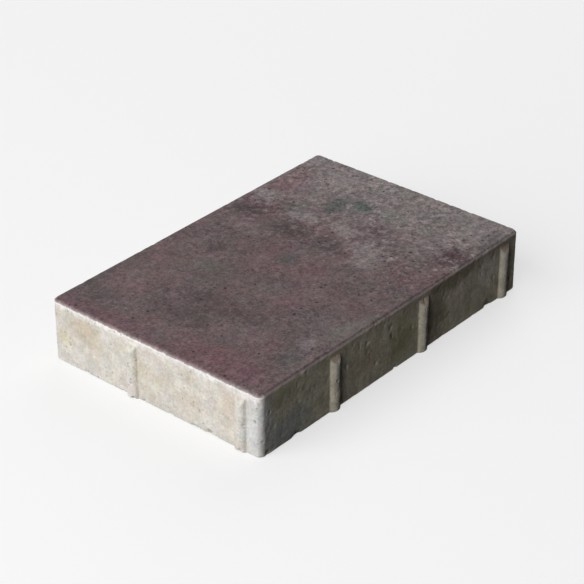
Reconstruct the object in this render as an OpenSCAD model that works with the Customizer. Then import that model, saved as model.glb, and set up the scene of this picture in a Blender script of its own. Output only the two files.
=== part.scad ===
// Pressed concrete paving stone with a bevelled wearing face and spacer nibs on all four sides.
// The stone lies on its bed face, centred on the origin, with its length along X and its width along Y.

/* [Stone] */
// Length of the laying module, one joint included
module_length = 300; // [200:10:400]
// Width of the laying module, one joint included
module_width = 200; // [100:10:300]
// Height from the bed face to the wearing face
thickness = 50; // [40:5:100]
// Joint between two stones laid on their modules
joint_width = 4; // [3:0.5:8]
// Radius of the four upright corners
corner_radius = 5; // [4:0.5:12]

/* [Bevel] */
// Width of the bevel round the wearing face, seen from above
bevel_width = 2; // [1:0.5:3]
// Height of the bevel on the sides
bevel_height = 2; // [1:0.5:6]

/* [Spacer nibs] */
// Pitch of the nibs along a side, the grid that all formats share
nib_pitch = 100; // [80:5:120]
// Distance from a nib's centre line on to the end of its pitch
nib_offset = 20; // [15:1:40]
// Width of a nib at the side's face
nib_width = 11; // [8:1:16]
// Height of a nib's crest above the side's face
nib_depth = 3; // [1.5:0.5:3.5]
// Plain height between the wearing face and the top of a nib
nib_top_gap = 6; // [5:0.5:12]
// Height over which the top of a nib slopes out to its crest
nib_lead = 6; // [3:0.5:12]

/* [Hidden] */
$fn = 96;

// Dusky red and grey colour blend of the wearing face
stone_colour = [0.42, 0.33, 0.33];
// How far a nib is let into the side, and how far its cutting planes run past it
overrun = 1;

body_length = module_length - joint_width;
body_width = module_width - joint_width;
side_height = thickness - bevel_height;

nib_half = nib_width / 2;
// The arc of a nib passes through its two feet and its crest
nib_radius = (nib_half * nib_half + nib_depth * nib_depth) / (2 * nib_depth);
nib_axis_inset = nib_radius - nib_depth;
nib_top = thickness - nib_top_gap;
// Fall of the sloped top for each millimetre outwards
nib_fall = nib_lead / nib_depth;

// Nearest that a nib's centre line comes to the end of its side's module
nib_end_room = joint_width / 2 + corner_radius + nib_half;

// The four sides, anticlockwise from the front: turn, length of the side, distance from the middle
sides = [
    [0, body_length, body_width / 2],
    [90, body_width, body_length / 2],
    [180, body_length, body_width / 2],
    [270, body_width, body_length / 2]
];

// Number of nibs on a side of the given module length
function nib_count(run) = floor((run - nib_end_room + nib_offset) / nib_pitch);

// Half a section through the stone: the bed, the upright side, the bevel and the wearing face
module half_section(reach) {
    polygon([
        [0, 0],
        [reach, 0],
        [reach, side_height],
        [reach - bevel_width, thickness],
        [0, thickness]
    ]);
}

// The stone from its middle out to the front side, between the two rounded corners
module straight_side(run, reach) {
    straight = run - 2 * corner_radius;
    translate([straight / 2, 0, 0])
        rotate([90, 0, -90])
            linear_extrude(straight)
                half_section(reach);
}

// The rounded corner at the right-hand end of the front side, with the bevel turned round it
module corner_post(run, reach) {
    translate([run / 2 - corner_radius, corner_radius - reach, 0])
        rotate([0, 0, -90])
            rotate_extrude(angle = 90)
                half_section(corner_radius);
}

// Side view of a nib: upright to the crest, then sloped back into the face
module nib_profile() {
    polygon([
        [-overrun, 0],
        [nib_depth + overrun, 0],
        [nib_depth + overrun, nib_top - nib_fall * (nib_depth + overrun)],
        [-overrun, nib_top + nib_fall * overrun]
    ]);
}

// A half-round spacer nib on a front face that lies at y = 0
module nib() {
    intersection() {
        translate([0, nib_axis_inset, 0])
            cylinder(h = thickness, r = nib_radius);
        translate([nib_radius + overrun, 0, 0])
            rotate([90, 0, -90])
                linear_extrude(2 * (nib_radius + overrun))
                    nib_profile();
    }
}

// The nibs of the front side, each towards the same end of its pitch.
// Those of the stone laid against this side then fall between them.
module side_nibs(run, reach) {
    module_run = run + joint_width;
    for (k = [1 : nib_count(module_run)])
        translate([k * nib_pitch - nib_offset - module_run / 2, -reach, 0])
            nib();
}

module paving_stone() {
    color(stone_colour)
        for (side = sides)
            rotate([0, 0, side[0]]) {
                straight_side(side[1], side[2]);
                corner_post(side[1], side[2]);
                side_nibs(side[1], side[2]);
            }
}

paving_stone();
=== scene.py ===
"""The paving stone's finish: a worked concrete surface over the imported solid, on a pale floor."""
import itertools
import math

import bpy
import numpy as np
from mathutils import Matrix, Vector
from mathutils.geometry import delaunay_2d_cdt


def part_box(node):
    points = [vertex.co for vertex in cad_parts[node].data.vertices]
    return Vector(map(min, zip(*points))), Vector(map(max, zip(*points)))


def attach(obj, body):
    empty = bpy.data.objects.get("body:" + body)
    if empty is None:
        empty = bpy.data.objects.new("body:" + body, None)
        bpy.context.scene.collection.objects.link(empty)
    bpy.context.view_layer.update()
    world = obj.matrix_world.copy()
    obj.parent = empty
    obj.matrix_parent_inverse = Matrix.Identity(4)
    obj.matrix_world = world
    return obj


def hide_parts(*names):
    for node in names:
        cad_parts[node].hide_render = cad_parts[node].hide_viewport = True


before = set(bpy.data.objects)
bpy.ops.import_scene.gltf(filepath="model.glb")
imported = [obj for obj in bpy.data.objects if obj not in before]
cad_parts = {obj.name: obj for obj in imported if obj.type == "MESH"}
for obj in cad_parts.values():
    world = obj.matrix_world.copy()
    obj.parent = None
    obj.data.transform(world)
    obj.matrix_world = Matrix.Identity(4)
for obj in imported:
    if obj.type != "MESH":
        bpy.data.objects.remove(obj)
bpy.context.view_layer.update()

MM = 0.001
NODE = "paving_stone"

# Sizes of the solid that its box doesn't give
JOINT = 4 * MM
CORNER_RADIUS = 5 * MM
BEVEL = 2 * MM
NIB_PITCH = 100 * MM
NIB_OFFSET = 20 * MM
NIB_WIDTH = 11 * MM
NIB_DEPTH = 3 * MM
NIB_TOP_GAP = 6 * MM
NIB_LEAD = 6 * MM

box_low, box_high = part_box(NODE)
MIDDLE = (box_low + box_high) / 2
HALF_LENGTH = box_high.x - NIB_DEPTH
HALF_WIDTH = box_high.y - NIB_DEPTH
THICKNESS = box_high.z
SIDE_HEIGHT = THICKNESS - BEVEL
NIB_TOP = THICKNESS - NIB_TOP_GAP

# Name of the mesh attribute that says how deep in a hollow a point lies, in mm
HOLLOW = "hollow"


# The shape

# Spacing of the mesh
SIDE_STEP = 1.0 * MM
NIB_STEP = 0.55 * MM
ROW_STEP = 1.0 * MM
TOP_STEP = 1.8 * MM
BED_STEP = 3.0 * MM
CORNER_STEPS = 10
FOOT_STEPS = 3
BEVEL_STEPS = 4
# Rounding of the bed's edge, and the flat rim between the bevel and the first inner points
FOOT_ROUND = 0.8 * MM
RIM = 0.6 * MM
# Room between a ring and the nearest inner points, as a share of their step
RING_ROOM_SHARE = 0.6
# Points of a filled ring that lie nearer than this count as one
MERGE = 0.001 * MM

# Noises of the relief: the size that each changes over, and its seed
ROUGHNESS = (28 * MM, 1)
FINE_GRAIN = (2.2 * MM, 2)
COARSE_GRAIN = (4.6 * MM, 3)
WAVE = (55 * MM, 4)
DRAG = (1.9 * MM, 5)
PORES = (2.4 * MM, 7)
# Heights and depths of the relief
WAVE_HEIGHT = 0.10 * MM
DRAG_HEIGHT = 0.05 * MM
TOP_GRAIN = 0.08 * MM
BED_GRAIN = 0.25 * MM
SIDE_GRAIN = 0.11 * MM
PORE_DEPTH = 0.9 * MM
# How much rougher or smoother some areas are, and the noise value above which a pore opens
ROUGH_SWING = 0.6
PORE_LEVEL = 0.45
# The marks that the mould leaves run upright, so their noise is drawn out along Z
DRAG_STRETCH = [1, 1, 0.12]

# Hollows on each part of the surface: how many, and the ranges of their radii and depths
WALL_BITES = (75, (1.0 * MM, 2.0 * MM), (0.4 * MM, 1.3 * MM))
TOP_BITES = (60, (1.8 * MM, 3.0 * MM), (0.2 * MM, 0.7 * MM))
BEVEL_BITES = (70, (0.8 * MM, 2.4 * MM), (0.2 * MM, 0.7 * MM))
FOOT_BITES = (40, (1.0 * MM, 4.2 * MM), (0.2 * MM, 1.2 * MM))
BED_BITES = (150, (3 * MM, 6 * MM), (0.4 * MM, 1.2 * MM))
# How ragged their rims are, and the range of their squeeze along each axis
BITE_RAGGED = 0.7
BITE_SQUEEZE = (0.7, 1.5)
BITE_SEED = 6

# Seed of the scattered points and hollows
DRAW_SEED = 11

# Upward share of a surface normal that tells flat, sloped and upright places apart
FLAT_SHARE = 0.9
SLOPED_SHARE = 0.5
UPRIGHT_SHARE = 0.1

# Length of the noise table, and large primes that turn the three numbers of a cell into one
TABLE_LENGTH = 4096
CELL_PRIMES = np.array([73856093, 19349663, 83492791])


def nib_centres(run):
    """Places of the nibs on a side of that length, from its middle, going round anticlockwise."""
    module_run = run + JOINT
    end_room = JOINT / 2 + CORNER_RADIUS + NIB_WIDTH / 2
    count = math.floor((module_run - end_room + NIB_OFFSET) / NIB_PITCH)
    return [k * NIB_PITCH - NIB_OFFSET - module_run / 2 for k in range(1, count + 1)]


def side_stops(run):
    """Places of the mesh columns along a side, from its middle, closer together across the nibs."""
    end = run / 2 - CORNER_RADIUS
    feet = [centre + sign * NIB_WIDTH / 2 for centre in nib_centres(run) for sign in (-1, 1)]
    stops = []
    for k, (start, stop) in enumerate(itertools.pairwise([-end, *feet, end])):
        step = NIB_STEP if k % 2 else SIDE_STEP
        stops.append(np.linspace(start, stop, math.ceil((stop - start) / step), endpoint=False))
    return np.concatenate(stops)


def nib_arc(along, run):
    """Height of the nibs' round section at places along a side."""
    radius = ((NIB_WIDTH / 2) ** 2 + NIB_DEPTH**2) / (2 * NIB_DEPTH)
    height = np.zeros_like(along)
    for centre in nib_centres(run):
        chord = np.clip(radius**2 - (along - centre) ** 2, 0, None)
        height = np.maximum(height, np.sqrt(chord) - radius + NIB_DEPTH)
    return height


def outline():
    """The plan, anticlockwise: places and outward normals on the plain sides, and the nib height there."""
    places, normals, nibs = [], [], []
    halves = (HALF_LENGTH, HALF_WIDTH)
    for turn in range(4):
        half_run, reach = halves[turn % 2], halves[1 - turn % 2]
        along = side_stops(2 * half_run)
        angles = np.linspace(-math.pi / 2, 0, CORNER_STEPS, endpoint=False)
        spin = np.stack([np.cos(angles), np.sin(angles)], 1)
        corner = np.array([half_run - CORNER_RADIUS, CORNER_RADIUS - reach])
        straight = np.stack([along, np.full_like(along, -reach)], 1)
        quarter = np.linalg.matrix_power(np.array([[0, 1], [-1, 0]]), turn)
        places.append(np.concatenate([straight, corner + CORNER_RADIUS * spin]) @ quarter)
        normals.append(np.concatenate([np.tile([0.0, -1.0], (len(along), 1)), spin]) @ quarter)
        nibs.append(np.concatenate([nib_arc(along, 2 * half_run), np.zeros(CORNER_STEPS)]))
    return np.concatenate(places), np.concatenate(normals), np.concatenate(nibs)


def wall_rows():
    """Inset, height and upward tilt of each ring of the wall, from the bed to the wearing face."""
    rows = []
    for angle in np.linspace(-math.pi / 2, 0, FOOT_STEPS + 1)[:-1]:
        inset, height = FOOT_ROUND * (1 - math.cos(angle)), FOOT_ROUND * (1 + math.sin(angle))
        rows.append((inset, height, -math.pi / 4))
    count = math.ceil((SIDE_HEIGHT - FOOT_ROUND) / ROW_STEP)
    rows += [(0, z, 0) for z in np.linspace(FOOT_ROUND, SIDE_HEIGHT, count, endpoint=False)]
    for share in np.linspace(0, 1, BEVEL_STEPS + 1):
        rows.append((share * BEVEL, SIDE_HEIGHT + share * BEVEL, math.pi / 4))
    rows.append((BEVEL + RIM, THICKNESS, math.pi / 2))
    return np.array(rows)


def wall_points(plan, out, nib, rows):
    """Places and normals of the wall's rings, one ring after the other from the bed up."""
    inset, height, tilt = (rows[:, k][:, None] for k in range(3))
    lead = np.clip((NIB_TOP - height) * NIB_DEPTH / NIB_LEAD, 0, None)
    reach = np.minimum(nib, lead) - inset
    levels = np.broadcast_to(height, reach.shape)[..., None]
    rises = np.broadcast_to(np.sin(tilt), reach.shape)[..., None]
    places = np.concatenate([plan + reach[..., None] * out, levels], -1)
    normals = np.concatenate([np.cos(tilt)[..., None] * out, rises], -1)
    return places.reshape(-1, 3), normals.reshape(-1, 3)


def wall_faces(columns, rings):
    """Four-sided faces between neighbouring rings of the wall."""
    here = np.arange(columns)
    after = np.roll(here, -1)
    start = columns * np.arange(rings - 1)[:, None]
    above = start + columns
    return np.stack([start + here, start + after, above + after, above + here], -1).reshape(-1, 4)


def depth_inside(places):
    """How far places in plan lie inside the stone's plain outline."""
    spare = np.abs(places) - np.array([HALF_LENGTH, HALF_WIDTH]) + CORNER_RADIUS
    outside = np.linalg.norm(np.clip(spare, 0, None), axis=1)
    return CORNER_RADIUS - outside - np.minimum(spare.max(1), 0)


def lattice(step, inset, rng):
    """Slightly scattered places in plan, about one step apart, that lie deeper inside than the inset."""
    x = np.arange(-HALF_LENGTH, HALF_LENGTH, step)
    y = np.arange(-HALF_WIDTH, HALF_WIDTH, step * math.sqrt(3) / 2)
    grid = np.stack(np.meshgrid(x, y), -1)
    grid[1::2, :, 0] += step / 2
    places = grid.reshape(-1, 2)
    scatter = step / 6
    places = places + rng.uniform(-scatter, scatter, places.shape)
    return places[depth_inside(places) > inset + step * RING_ROOM_SHARE]


def level_points(inner, height, rise):
    """Inner places of the plan set at one height, with normals that point up or down."""
    places = np.column_stack([inner, np.full(len(inner), height)])
    return places, np.tile([0, 0, rise], (len(inner), 1))


def fill(places, ring_length):
    """Triangles, anticlockwise, that fill the ring of the first places by way of the others inside it."""
    inside_only = 1
    corners = [Vector(place) for place in places]
    return np.array(delaunay_2d_cdt(corners, [], [range(ring_length)], inside_only, MERGE)[2])


def smooth_noise(places, size, seed):
    """Noise from -1 to 1 that changes over about one size, the same on every run."""
    table = np.random.default_rng(seed).uniform(-1, 1, TABLE_LENGTH)
    cell = places / size
    low = np.floor(cell).astype(np.int64)
    part = cell - low
    part = part * part * (3 - 2 * part)
    total = np.zeros(len(places))
    for corner in itertools.product((0, 1), repeat=3):
        key = (low + corner) @ CELL_PRIMES
        weight = np.where(corner, part, 1 - part).prod(1)
        total += weight * table[key % TABLE_LENGTH]
    return total


def bites(places, among, count, radii, depths, rng):
    """Depth of ragged oval hollows of mixed size, centred on places drawn from among."""
    ragged = 1 + BITE_RAGGED * smooth_noise(places, radii[0], BITE_SEED)
    total = np.zeros(len(places))
    for centre in places[rng.choice(np.flatnonzero(among), count, replace=False)]:
        radius, depth = rng.uniform(*radii), rng.uniform(*depths)
        squeeze = rng.uniform(*BITE_SQUEEZE, 3)
        gap = (((places - centre) * squeeze) ** 2).sum(1) * ragged / radius**2
        total = np.maximum(total, depth * np.clip(1 - gap, 0, None))
    return total


def relief(places, normals, rng):
    """How far each point of the surface stands out of the plain shape, and how deep in a hollow it lies."""
    rise = normals[:, 2]
    is_top = rise > FLAT_SHARE
    is_bed = rise < -FLAT_SHARE
    is_wall = np.abs(rise) < UPRIGHT_SHARE
    is_bevel = (rise > SLOPED_SHARE) & ~is_top
    is_foot = (rise < -UPRIGHT_SHARE) & ~is_bed

    rough = 1 + ROUGH_SWING * smooth_noise(places, *ROUGHNESS)
    grain = (smooth_noise(places, *FINE_GRAIN) + smooth_noise(places, *COARSE_GRAIN)) / 2
    open_pores = np.clip(smooth_noise(places, *PORES) - PORE_LEVEL, 0, None)

    hollow = np.where(is_wall, PORE_DEPTH * rough * open_pores, 0)
    hollow += bites(places, is_wall, *WALL_BITES, rng)
    hollow += bites(places, is_top, *TOP_BITES, rng)
    hollow += bites(places, is_bevel, *BEVEL_BITES, rng)
    hollow += bites(places, is_foot, *FOOT_BITES, rng)
    hollow += bites(places, is_bed, *BED_BITES, rng)

    out = WAVE_HEIGHT * smooth_noise(places, *WAVE)
    out += rough * grain * np.select([is_top, is_bed], [TOP_GRAIN, BED_GRAIN], SIDE_GRAIN)
    out += np.where(is_wall, DRAG_HEIGHT * smooth_noise(places * DRAG_STRETCH, *DRAG), 0)
    return out - hollow, hollow


def make_stone():
    """The stone's whole surface as one closed mesh."""
    rng = np.random.default_rng(DRAW_SEED)
    plan, out, nib = outline()
    rows = wall_rows()
    columns = len(plan)
    wall, wall_normals = wall_points(plan, out, nib, rows)
    top, up = level_points(lattice(TOP_STEP, BEVEL + RIM, rng), THICKNESS, 1.0)
    bed, down = level_points(lattice(BED_STEP, FOOT_ROUND, rng), 0.0, -1.0)
    places = np.concatenate([wall, top, bed])
    normals = np.concatenate([wall_normals, up, down])

    ends = np.cumsum([len(wall), len(top)])
    wall_numbers, top_numbers, bed_numbers = np.split(np.arange(len(places)), ends)
    top_numbers = np.concatenate([wall_numbers[-columns:], top_numbers])
    bed_numbers = np.concatenate([wall_numbers[:columns], bed_numbers])
    top_faces = top_numbers[fill(places[top_numbers, :2], columns)]
    bed_faces = bed_numbers[fill(places[bed_numbers, :2], columns)][:, ::-1]
    faces = wall_faces(columns, len(rows)).tolist() + top_faces.tolist() + bed_faces.tolist()

    stand, hollow = relief(places, normals, rng)
    places = np.clip(places + normals * stand[:, None], box_low, box_high)
    mesh = bpy.data.meshes.new("stone")
    mesh.from_pydata(places.tolist(), [], faces)
    mesh.shade_smooth()
    mesh.attributes.new(HOLLOW, "FLOAT", "POINT").data.foreach_set("value", hollow / MM)
    stone = bpy.data.objects.new("stone", mesh)
    bpy.context.scene.collection.objects.link(stone)
    return stone


# The finish


def paint(red, green, blue):
    """A colour given as it shows on a screen, 0 to 255, turned by the sRGB curve for a shader's socket."""
    shares = np.array([red, green, blue]) / 255
    linear = np.where(shares <= 0.04045, shares / 12.92, ((shares + 0.055) / 1.055) ** 2.4)
    return (*linear, 1.0)


class Shader:
    """One material's nodes, each added by a short call that returns its output.

    A pattern is a noise's size, detail and roughness. A step goes smoothly between two values,
    and is given as those two and the results there.
    """

    # Step over the values that a noise mostly takes
    NOISE_STEP = (0.25, 0.75, -1, 1)
    # Where the soft rim of a blotch starts and ends, as shares of its reach
    RIM_START = 0.4
    RIM_END = 1.25
    # Numbers of the Mix node's sockets for colours
    MIX_SHARE, MIX_FIRST, MIX_SECOND, MIX_RESULT = 0, 6, 7, 2

    def __init__(self, name):
        self.material = bpy.data.materials.new(name)
        self.material.use_nodes = True
        self.tree = self.material.node_tree
        self.surface = self.tree.nodes["Principled BSDF"].inputs
        self.place = self.add("ShaderNodeTexCoord").outputs["Object"]

    def feed(self, socket, value):
        """Links a socket to an output, or sets it to a plain value."""
        if isinstance(value, bpy.types.NodeSocket):
            self.tree.links.new(value, socket)
        else:
            socket.default_value = value

    def add(self, kind, inputs=None, **settings):
        """A node with its settings, and its inputs by name or number."""
        made = self.tree.nodes.new(kind)
        for name, value in settings.items():
            setattr(made, name, value)
        for key, value in (inputs or {}).items():
            self.feed(made.inputs[key], value)
        return made

    def math(self, operation, *values):
        """The result of an operation on numbers."""
        return self.add("ShaderNodeMath", dict(enumerate(values)), operation=operation).outputs[0]

    def vector(self, operation, *values):
        """The result of an operation on vectors or colours."""
        made = self.add("ShaderNodeVectorMath", dict(enumerate(values)), operation=operation)
        return made.outputs["Value" if operation == "LENGTH" else "Vector"]

    def axis(self, name, place=None):
        """The X, Y or Z of a place, by default of the place on the surface."""
        return self.add("ShaderNodeSeparateXYZ", {0: place or self.place}).outputs[name]

    def span(self, share, low, high):
        """A number that goes evenly from low to high as a share goes from 0 to 1."""
        return self.math("MULTIPLY_ADD", share, high - low, low)

    def ramp(self, value, step):
        """The result of a step at a value."""
        inputs = dict(zip(("From Min", "From Max", "To Min", "To Max"), step), Value=value)
        return self.add("ShaderNodeMapRange", inputs, interpolation_type="SMOOTHSTEP").outputs["Result"]

    def noise(self, pattern, output="Fac"):
        """A noise on the surface, as one number or as the three of a colour."""
        size, detail, roughness = pattern
        inputs = {"Vector": self.place, "Scale": 1 / size, "Detail": detail, "Roughness": roughness}
        return self.add("ShaderNodeTexNoise", inputs).outputs[output]

    def bend(self, pattern, reach):
        """The place on the surface, shifted about by a noise, up to the reach each way."""
        shift = self.vector("SUBTRACT", self.noise(pattern, "Color"), [0.5] * 3)
        return self.vector("MULTIPLY_ADD", shift, [2 * reach] * 3, self.place)

    def mix(self, share, first, second):
        """A colour that goes from the first to the second as a share goes from 0 to 1."""
        inputs = {self.MIX_SHARE: share, self.MIX_FIRST: first, self.MIX_SECOND: second}
        return self.add("ShaderNodeMix", inputs, data_type="RGBA").outputs[self.MIX_RESULT]

    def shade(self, colour, pattern, strength):
        """Makes a colour darker and lighter by a noise."""
        swing = self.ramp(self.noise(pattern), self.NOISE_STEP)
        return self.vector("MULTIPLY", colour, self.math("MULTIPLY_ADD", swing, strength, 1))

    def blush(self, colour, pattern, strength):
        """Makes each of a colour's three parts a little stronger or weaker by itself."""
        parts = self.noise(pattern, "Color")
        factors = self.vector("MULTIPLY_ADD", parts, [strength] * 3, [1 - strength / 2] * 3)
        return self.vector("MULTIPLY", colour, factors)

    def blotch(self, colour, tint, middle, reach, share, place, ragged):
        """Lays a soft ragged blotch of a tint on a colour. Its middle and reach by axis are in mm."""
        scale = [1 / (r * MM) for r in reach]
        shift = [-m * MM * s for m, s in zip(middle, scale)]
        gap = self.vector("LENGTH", self.vector("MULTIPLY_ADD", place, scale, shift))
        cover = self.ramp(self.math("ADD", gap, ragged), (self.RIM_START, self.RIM_END, share, 0))
        return self.mix(cover, colour, paint(*tint))

    def grains(self, place, size, core_step):
        """A pattern of cells: the cores of their grains, and three random numbers for each grain."""
        cells = self.add("ShaderNodeTexVoronoi", {"Vector": place, "Scale": 1 / size}).outputs
        numbers = self.add("ShaderNodeSeparateColor", {0: cells["Color"]}).outputs
        return self.ramp(cells["Distance"], core_step), numbers

    def sprinkle(self, colour, tint, core, number, step):
        """Lays a tint on the cores of some grains, by a step of their random number."""
        return self.mix(self.math("MULTIPLY", core, self.ramp(number, step)), colour, tint)


# Step from the middle of a cell, for the core of a sand grain
SAND_CORE_STEP = (0.3, 0.5, 1, 0)


# The wearing face

# Clouds of its colour blend: tint, middle and reach in X and Y in mm, and share
FACE_BLOTCHES = [
    # Red tint by the far left edge
    ((125, 95, 100), (95, 85), (30, 20), 0.6),
    # Green-grey spots of unblended pigment
    ((80, 90, 85), (99, 15), (10, 11), 0.85),
    ((80, 90, 85), (87, 30), (14, 10), 0.8),
    ((110, 115, 110), (102, -12), (11, 17), 0.6),
    ((105, 105, 100), (66, 50), (10, 10), 0.7),
    ((120, 115, 110), (112, -42), (10, 14), 0.5),
    # Dark red by the far right edge and dark purple in the middle of the far third
    ((80, 60, 65), (80, -84), (19, 15), 0.9),
    ((95, 85, 85), (114, -93), (20, 9), 0.7),
    ((90, 75, 80), (77, -18), (10, 13), 0.7),
    # Pale drift across the far third
    ((145, 135, 135), (68, 86), (9, 16), 0.75),
    ((145, 135, 135), (57, 38), (8, 14), 0.75),
    ((145, 135, 135), (61, 2), (9, 17), 0.75),
    ((140, 130, 130), (49, -32), (11, 22), 0.75),
    ((130, 120, 120), (32, -42), (9, 15), 0.7),
    ((130, 115, 115), (18, 66), (8, 19), 0.5),
    # Dark brown in front of it
    ((80, 70, 70), (42, 78), (11, 20), 0.8),
    ((80, 70, 70), (38, 30), (13, 22), 0.7),
    ((80, 70, 70), (37, -4), (11, 16), 0.65),
    # Worn middle, a little greener towards the left
    ((115, 100, 100), (-5, -38), (34, 12), 0.5),
    ((100, 95, 90), (-44, 34), (18, 30), 0.6),
    ((85, 70, 70), (-78, 0), (12, 48), 0.6),
    ((85, 70, 70), (-18, 56), (11, 7), 0.6),
    ((80, 85, 85), (2, 6), (12, 8), 0.6),
    ((115, 110, 105), (-44, -90), (26, 9), 0.6),
    # Pink smear and the grey clouds round it
    ((120, 100, 100), (-98, 66), (30, 12), 0.6),
    ((85, 75, 75), (-98, 10), (22, 30), 0.65),
    ((90, 85, 85), (-97, -82), (11, 10), 0.65),
    ((90, 85, 85), (-122, 78), (16, 14), 0.55),
    ((95, 90, 90), (-105, 94), (26, 9), 0.6),
    # Wine red along the near edge, and a pale fleck
    ((115, 85, 90), (-130, -54), (18, 46), 0.75),
    ((105, 80, 85), (-141, 45), (11, 48), 0.6),
    ((130, 120, 120), (-78, -80), (9, 7), 0.6),
]
# Reach in Z, in mm, of a blotch that is the same at any height
ANY_HEIGHT = 1e4

# Its colours
DUSKY_RED = paint(112, 91, 93)
DUSKY_GREY = paint(104, 92, 92)
FAR_GREY = paint(137, 129, 128)
PALE_DUST = paint(152, 142, 141)
PALE_SAND = paint(150, 138, 136)
DARK_SAND = paint(52, 42, 44)
# Painted shade of small pits
FACE_PIT_SHADE = paint(34, 28, 28)
WORN_EDGE = paint(170, 164, 160)
# Its patterns, and how strongly some of them change its colour
FACE_DRIFT = (38 * MM, 4, 0.6)
FACE_PATCHES = (30 * MM, 3, 0.5)
FACE_CLOUDS = (22 * MM, 3, 0.5)
FACE_BLUSH = (15 * MM, 3, 0.6)
FACE_FLECKS = (6 * MM, 4, 0.7)
FACE_COARSE = (5 * MM, 4, 0.75)
FACE_FINE = (1.7 * MM, 2, 0.6)
FACE_CLOUD_STRENGTH = 0.12
FACE_BLUSH_STRENGTH = 0.2
FACE_FINE_STRENGTH = 0.24
# Steps of its patterns
DRIFT_STEP = (0.35, 0.65, 0, 1)
PATCH_STEP = (0.35, 0.65, 0.22, 0.42)
FLECK_STEP = (0.5, 0.66, 0, 1)
# Steps along X towards its far end, and how far the ragged noise shifts them
FAR_GREY_STEP = (45 * MM, 125 * MM, 0, 0.85)
FAR_DUST_STEP = (0, 60 * MM, 0.12, 0.55)
FAR_COARSE_STEP = (0, 70 * MM, 1, 1.6)
FAR_RAGGED = 18 * MM
# Cells of its grains and pits, the core of a pit, and steps of their random numbers
FACE_SAND_SIZE = 1.9 * MM
FACE_PIT_SIZE = 4.5 * MM
PIT_CORE_STEP = (0.16, 0.32, 1, 0)
PALE_SAND_STEP = (0.92, 0.95, 0, 0.3)
DARK_SAND_STEP = (0.88, 0.92, 0, 0.45)
FACE_PIT_STEP = (0.90, 0.95, 0, 0.75)


def face_colour(shader, bent, ragged, frayed):
    """The wearing face: a dusky red and grey colour blend with sand grains, and small pits whose shade is
    painted dark.
    """
    drift = shader.ramp(shader.noise(FACE_DRIFT), DRIFT_STEP)
    colour = shader.mix(drift, DUSKY_RED, DUSKY_GREY)
    far = shader.math("ADD", shader.axis("X"), shader.math("MULTIPLY", ragged, FAR_RAGGED))
    colour = shader.mix(shader.ramp(far, FAR_GREY_STEP), colour, FAR_GREY)
    for tint, middle, reach, share in FACE_BLOTCHES:
        colour = shader.blotch(colour, tint, (*middle, 0), (*reach, ANY_HEIGHT), share, bent, ragged)

    # Flecks of pale dust, more of them towards the far end
    flecks = shader.ramp(shader.noise(FACE_FLECKS), FLECK_STEP)
    dust = shader.math("MULTIPLY", flecks, shader.ramp(far, FAR_DUST_STEP))
    colour = shader.mix(dust, colour, PALE_DUST)

    # Broad clouds, then coarse grain, stronger in patches and towards the far end, then fine grain
    colour = shader.blush(colour, FACE_BLUSH, FACE_BLUSH_STRENGTH)
    colour = shader.shade(colour, FACE_CLOUDS, FACE_CLOUD_STRENGTH)
    patches = shader.ramp(shader.noise(FACE_PATCHES), PATCH_STEP)
    coarse_strength = shader.math("MULTIPLY", patches, shader.ramp(far, FAR_COARSE_STEP))
    colour = shader.shade(colour, FACE_COARSE, coarse_strength)
    colour = shader.shade(colour, FACE_FINE, FACE_FINE_STRENGTH)

    # Pale and dark sand grains, and a few small pits whose shade is painted dark
    core, numbers = shader.grains(frayed, FACE_SAND_SIZE, SAND_CORE_STEP)
    colour = shader.sprinkle(colour, PALE_SAND, core, numbers[0], PALE_SAND_STEP)
    colour = shader.sprinkle(colour, DARK_SAND, core, numbers[1], DARK_SAND_STEP)
    core, numbers = shader.grains(frayed, FACE_PIT_SIZE, PIT_CORE_STEP)
    return shader.sprinkle(colour, FACE_PIT_SHADE, core, numbers[0], FACE_PIT_STEP)


# The sides

# Their stains: tint, middle and reach in X, Y and Z in mm, and share
SIDE_BLOTCHES = [
    # Tan on the near end; the narrow stripe beside a nib's foot is painted shade
    ((185, 170, 145), (-148, 67, 34), (20, 18, 12), 0.55),
    ((200, 195, 165), (-148, 88, 22), (20, 8, 8), 0.6),
    ((190, 175, 150), (-148, 15, 26), (20, 4, 24), 0.2),
    ((195, 180, 160), (-148, -32, 18), (20, 18, 10), 0.4),
    ((200, 185, 165), (-148, -70, 33), (20, 12, 14), 0.3),
    # Lime bloom round the near corner and the one across from it
    ((195, 195, 195), (-146, -97, 26), (14, 16, 44), 0.7),
    ((195, 195, 195), (146, 97, 26), (14, 16, 44), 0.7),
    # Blue-grey, dark olive and pinkish brown on the near length
    ((165, 170, 170), (-122, -98, 12), (26, 20, 14), 0.75),
    ((160, 155, 125), (-126, -98, 40), (14, 20, 9), 0.6),
    ((190, 170, 150), (-37, -98, 24), (20, 20, 12), 0.5),
    ((160, 155, 120), (6, -98, 20), (18, 20, 18), 0.7),
    ((145, 135, 115), (47, -98, 23), (12, 20, 26), 0.7),
    ((215, 200, 190), (70, -98, 30), (14, 20, 10), 0.75),
    ((140, 140, 110), (64, -98, 44), (34, 20, 7), 0.7),
    ((220, 210, 200), (110, -98, 30), (17, 20, 15), 0.85),
]

# Their colours
LENGTH_CREAM = paint(200, 193, 174)
END_CREAM = paint(205, 200, 192)
TAN_STAIN = paint(190, 175, 145)
LIME_BLOOM = paint(226, 224, 222)
FACE_TRACE = paint(140, 118, 112)
NIB_CAP = paint(176, 146, 142)
# Rubbed nib crests, painted paler also as a highlight that softens their shading
NIB_CREST_WEAR_AND_LIGHT = paint(206, 204, 198)
BROWN_SAND = paint(172, 154, 124)
# Painted shade of pores
SIDE_PORE_SHADE = paint(104, 94, 78)
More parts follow.
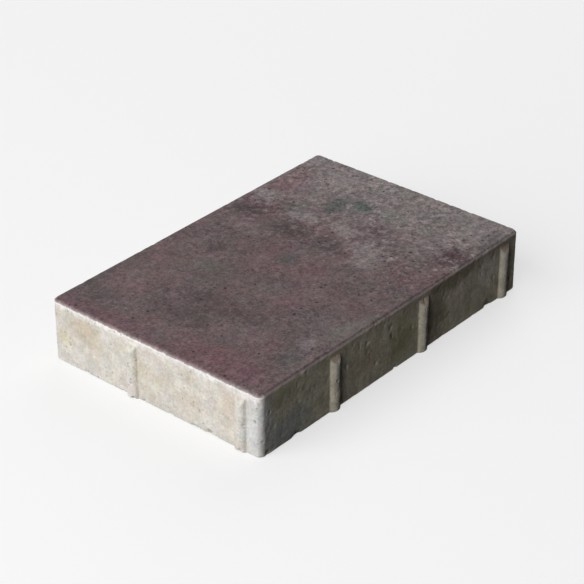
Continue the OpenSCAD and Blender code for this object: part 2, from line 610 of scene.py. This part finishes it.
# Their patterns, and how strongly some of them change the colour
SIDE_STAINS = (20 * MM, 4, 0.6)
SIDE_BLUSH = (12 * MM, 3, 0.6)
SIDE_MOTTLE = (9 * MM, 4, 0.65)
SIDE_FINE = (1.6 * MM, 2, 0.6)
SIDE_BLUSH_STRENGTH = 0.12
SIDE_FINE_STRENGTH = 0.11
END_MOTTLE_STRENGTH = 0.13
LENGTH_MOTTLE_STRENGTH = 0.20
# Steps of their patterns
STAIN_STEP = (0.45, 0.75, 0, 0.42)
BLOOM_STEP = (0.3, 0.6, 0.2, 0.8)
# Steps along X: from a length to an end, and along the traces of the face mix
END_STEP = (HALF_LENGTH - 7 * MM, HALF_LENGTH - 1 * MM, 0, 1)
TRACE_RUN_STEP = (-60 * MM, 130 * MM, 0.15, 0.6)
# Steps up Z: lime bloom and its dense top line, traces of the face mix, and the sloped top of a nib
BLOOM_BAND_STEP = (SIDE_HEIGHT - 6 * MM, SIDE_HEIGHT - 1 * MM, 0, 1)
BLOOM_LINE_STEP = (SIDE_HEIGHT - 2.5 * MM, SIDE_HEIGHT - 1 * MM, 0, 0.85)
TRACE_BAND_STEP = (SIDE_HEIGHT - 13 * MM, SIDE_HEIGHT, 0, 1)
NIB_SLOPE_STEP = (NIB_TOP - NIB_LEAD, NIB_TOP, 0, 1)
# How far the ragged noise shifts the traces
TRACE_RAGGED = 6 * MM
# Steps out from the plain side up a nib, and how much of the face mix its cap has on an end or a length
CAP_STEP = (0.5 * MM, 0.9 * MM, 0, 1)
CREST_STEP = (1.3 * MM, 2.7 * MM, 0, 0.4)
END_CAP_SHARE = 0.1
LENGTH_CAP_SHARE = 0.7
# Cells of their grains, and steps of their random numbers
SIDE_SAND_SIZE = 2.1 * MM
BROWN_SAND_STEP = (0.80, 0.86, 0, 0.4)
SIDE_PORE_STEP = (0.965, 0.98, 0, 0.45)


def side_colour(shader, bent, ragged, frayed):
    """The sides: pale cream, a little more olive along the lengths, with stains, sand and lime bloom."""
    x, z = shader.axis("X"), shader.axis("Z")
    end = shader.ramp(shader.math("ABSOLUTE", x), END_STEP)
    along = shader.math("SUBTRACT", 1, end)
    colour = shader.mix(end, LENGTH_CREAM, END_CREAM)
    colour = shader.mix(shader.ramp(shader.noise(SIDE_STAINS), STAIN_STEP), colour, TAN_STAIN)
    for tint, middle, reach, share in SIDE_BLOTCHES:
        colour = shader.blotch(colour, tint, middle, reach, share, bent, ragged)

    # Lime bloom along the upper edge of the ends
    bloom = shader.ramp(shader.noise(SIDE_MOTTLE), BLOOM_STEP)
    bloom = shader.math("MULTIPLY", shader.ramp(z, BLOOM_BAND_STEP), bloom)
    bloom = shader.math("MAXIMUM", bloom, shader.ramp(z, BLOOM_LINE_STEP))
    colour = shader.mix(shader.math("MULTIPLY", bloom, end), colour, LIME_BLOOM)

    # Traces of the face mix under its edge on the lengths, more towards the far end
    ragged_z = shader.math("ADD", z, shader.math("MULTIPLY", ragged, TRACE_RAGGED))
    trace = shader.ramp(ragged_z, TRACE_BAND_STEP)
    trace = shader.math("MULTIPLY", trace, shader.ramp(x, TRACE_RUN_STEP))
    colour = shader.mix(shader.math("MULTIPLY", trace, along), colour, FACE_TRACE)

    # The same mix caught on the sloped tops of the nibs, and their crests: rubbed, and painted paler as
    # light
    plain_sides = (HALF_LENGTH, HALF_WIDTH, 0)
    past = shader.vector("SUBTRACT", shader.vector("ABSOLUTE", shader.place), plain_sides)
    proud = shader.math("MAXIMUM", shader.axis("X", past), shader.axis("Y", past))
    cap = shader.math("MULTIPLY", shader.ramp(proud, CAP_STEP), shader.ramp(z, NIB_SLOPE_STEP))
    cap = shader.math("MULTIPLY", cap, shader.span(along, END_CAP_SHARE, LENGTH_CAP_SHARE))
    colour = shader.mix(cap, colour, NIB_CAP)
    colour = shader.mix(shader.ramp(proud, CREST_STEP), colour, NIB_CREST_WEAR_AND_LIGHT)

    # Mottle, stronger on the lengths, then fine grain, sand grains, and pores whose shade is painted dark
    colour = shader.blush(colour, SIDE_BLUSH, SIDE_BLUSH_STRENGTH)
    mottle_strength = shader.span(along, END_MOTTLE_STRENGTH, LENGTH_MOTTLE_STRENGTH)
    colour = shader.shade(colour, SIDE_MOTTLE, mottle_strength)
    colour = shader.shade(colour, SIDE_FINE, SIDE_FINE_STRENGTH)
    core, numbers = shader.grains(frayed, SIDE_SAND_SIZE, SAND_CORE_STEP)
    colour = shader.sprinkle(colour, BROWN_SAND, core, numbers[0], BROWN_SAND_STEP)
    return shader.sprinkle(colour, SIDE_PORE_SHADE, core, numbers[1], SIDE_PORE_STEP)


# The whole concrete

# Patterns that bend the blotches, fray the grains, and make rims and the edge of the face mix ragged
BEND = (26 * MM, 3, 0.6)
FRAY = (1.1 * MM, 2, 0.6)
RAGGED = (7 * MM, 4, 0.65)
CRUMBLE = (2.6 * MM, 3, 0.6)
# How far each way, for the rims as a share of a blotch's reach
BEND_REACH = 9 * MM
FRAY_REACH = 0.8 * MM
RAGGED_REACH_SHARE = 0.8
CRUMBLE_REACH = 0.9 * MM

# Steps up Z: the edge of the face mix, and its wear on the bevel
FACE_EDGE_STEP = (SIDE_HEIGHT - 0.4 * MM, SIDE_HEIGHT + 0.4 * MM, 0, 1)
WEAR_STEP = (SIDE_HEIGHT + 0.2 * MM, THICKNESS - 0.2 * MM, 0.55, 0)
# Step down a hollow, in mm, as its dirt and painted shade darken the colour
DIRT_AND_SHADE_STEP = (0.1, 1.2, 1, 0.55)
# The finest grit, its step of the roughness, and its bump
GRIT = (1.3 * MM, 5, 0.75)
GRIT_ROUGHNESS_STEP = (0.3, 0.7, 0.95, 0.8)
GRIT_STRENGTH = 0.6
GRIT_HEIGHT = 0.3 * MM
# Specular level of the dry surface
SHINE = 0.25


def make_concrete():
    """Dusky colour-blended wearing face and bevel over pale sides."""
    shader = Shader("concrete")
    bent = shader.bend(BEND, BEND_REACH)
    frayed = shader.bend(FRAY, FRAY_REACH)
    ragged = shader.span(shader.noise(RAGGED), -RAGGED_REACH_SHARE, RAGGED_REACH_SHARE)
    sides = side_colour(shader, bent, ragged, frayed)
    face = face_colour(shader, bent, ragged, frayed)

    # The face mix ends raggedly at the foot of the bevel, and is worn on it
    crumble = shader.span(shader.noise(CRUMBLE), -CRUMBLE_REACH, CRUMBLE_REACH)
    height = shader.math("ADD", shader.axis("Z"), crumble)
    worn_face = shader.mix(shader.ramp(height, WEAR_STEP), face, WORN_EDGE)
    colour = shader.mix(shader.ramp(height, FACE_EDGE_STEP), sides, worn_face)

    # Dirt and painted shade in the hollows: the deeper the hollow, the darker
    hollow = shader.add("ShaderNodeAttribute", attribute_name=HOLLOW).outputs["Fac"]
    colour = shader.vector("MULTIPLY", colour, shader.ramp(hollow, DIRT_AND_SHADE_STEP))

    grit = shader.noise(GRIT)
    bump = {"Height": grit, "Strength": GRIT_STRENGTH, "Distance": GRIT_HEIGHT}
    shader.feed(shader.surface["Base Color"], colour)
    shader.feed(shader.surface["Roughness"], shader.ramp(grit, GRIT_ROUGHNESS_STEP))
    shader.feed(shader.surface["Specular IOR Level"], SHINE)
    shader.feed(shader.surface["Normal"], shader.add("ShaderNodeBump", bump).outputs["Normal"])
    return shader.material


# The stage

# The camera: its angles in degrees and its distance, as in the photograph, and its lens and sensor in mm
VIEW_AZIMUTH = -49.8
VIEW_ELEVATION = 30.8
VIEW_DISTANCE = 1479 * MM
LENS = 124
SENSOR = 36

# The floor, and the round backdrop, which is black but glows
BACKDROP_RADIUS = 2.6
BACKDROP_HEIGHT = 3.0
BACKDROP_PARTS = 96
FLOOR_COLOUR = paint(160, 160, 160)
FLOOR_GLOW = 0.62
BACKDROP_COLOUR = paint(0, 0, 0)
BACKDROP_GLOW = 0.8
STAGE_ROUGHNESS = 0.9

# Strength of the light from all around, and the colour of it and of the glow
AMBIENT = 0.022
WHITE = (1, 1, 1, 1)


def add_stage(name, corners, faces, colour, glow):
    """A plain pale stage surface that shows, and takes shadows, but sends no light back to the stone."""
    material = bpy.data.materials.new(name)
    material.use_nodes = True
    sockets = material.node_tree.nodes["Principled BSDF"].inputs
    sockets["Base Color"].default_value = colour
    sockets["Roughness"].default_value = STAGE_ROUGHNESS
    sockets["Specular IOR Level"].default_value = 0
    sockets["Emission Color"].default_value = WHITE
    sockets["Emission Strength"].default_value = glow
    mesh = bpy.data.meshes.new(name)
    mesh.from_pydata(corners, [], faces)
    mesh.materials.append(material)
    surface = bpy.data.objects.new(name, mesh)
    bpy.context.scene.collection.objects.link(surface)
    surface.visible_diffuse = False
    surface.visible_glossy = False
    return surface


def make_stage():
    """A pale floor, and a round pale backdrop far behind it on all sides."""
    turns = [k * math.tau / BACKDROP_PARTS for k in range(BACKDROP_PARTS)]
    foot = [(BACKDROP_RADIUS * math.cos(turn), BACKDROP_RADIUS * math.sin(turn), 0) for turn in turns]
    head = [(x, y, BACKDROP_HEIGHT) for x, y, _ in foot]
    after = [(k + 1) % BACKDROP_PARTS for k in range(BACKDROP_PARTS)]
    panels = [(after[k], k, BACKDROP_PARTS + k, BACKDROP_PARTS + after[k]) for k in range(BACKDROP_PARTS)]
    add_stage("floor", foot, [range(BACKDROP_PARTS)], FLOOR_COLOUR, FLOOR_GLOW)
    backdrop = add_stage("wall", foot + head, panels, BACKDROP_COLOUR, BACKDROP_GLOW)
    backdrop.visible_shadow = False


def direction(azimuth, elevation):
    """The way from the stone to something at those angles: azimuth 0 is the -Y side, 90 the +X side."""
    a, e = math.radians(azimuth), math.radians(elevation)
    return Vector((math.sin(a) * math.cos(e), -math.cos(a) * math.cos(e), math.sin(e)))


def aim(thing, away):
    """Places a thing at that way from the stone's middle, looking back at it."""
    thing.location = MIDDLE + away
    thing.rotation_mode = "QUATERNION"
    thing.rotation_quaternion = (-away).to_track_quat("-Z", "Y")


def make_camera():
    """The photograph's viewing angle and distance, with a lens that fills the frame with the stone."""
    data = bpy.data.cameras.new("camera")
    data.lens = LENS
    data.sensor_width = SENSOR
    camera = bpy.data.objects.new("camera", data)
    bpy.context.scene.collection.objects.link(camera)
    aim(camera, direction(VIEW_AZIMUTH, VIEW_ELEVATION) * VIEW_DISTANCE)
    bpy.context.scene.camera = camera
    bpy.context.scene.view_settings.view_transform = "Standard"


def add_light(name, azimuth, elevation, distance, size, level):
    """A soft square lamp that lights a white surface facing it to about that level."""
    lamp = bpy.data.lights.new(name, "AREA")
    lamp.size = size
    lamp.energy = level * math.pi**2 * distance**2
    light = bpy.data.objects.new(name, lamp)
    bpy.context.scene.collection.objects.link(light)
    light.visible_camera = False
    aim(light, direction(azimuth, elevation) * distance)


def make_lights():
    """A broad key on the near end, a weaker lamp behind the far end, and a little light from all around."""
    add_light("key", azimuth=-96, elevation=27, distance=2.5, size=3.0, level=1.85)
    add_light("back_fill", azimuth=115, elevation=30, distance=2.5, size=2.0, level=0.45)
    world = bpy.data.worlds.new("studio")
    world.use_nodes = True
    background = world.node_tree.nodes["Background"].inputs
    background["Color"].default_value = WHITE
    background["Strength"].default_value = AMBIENT
    bpy.context.scene.world = world


# The scene

make_camera()

stone = make_stone()
stone.data.materials.append(make_concrete())
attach(stone, "root")
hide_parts(NODE)

make_stage()
make_lights()
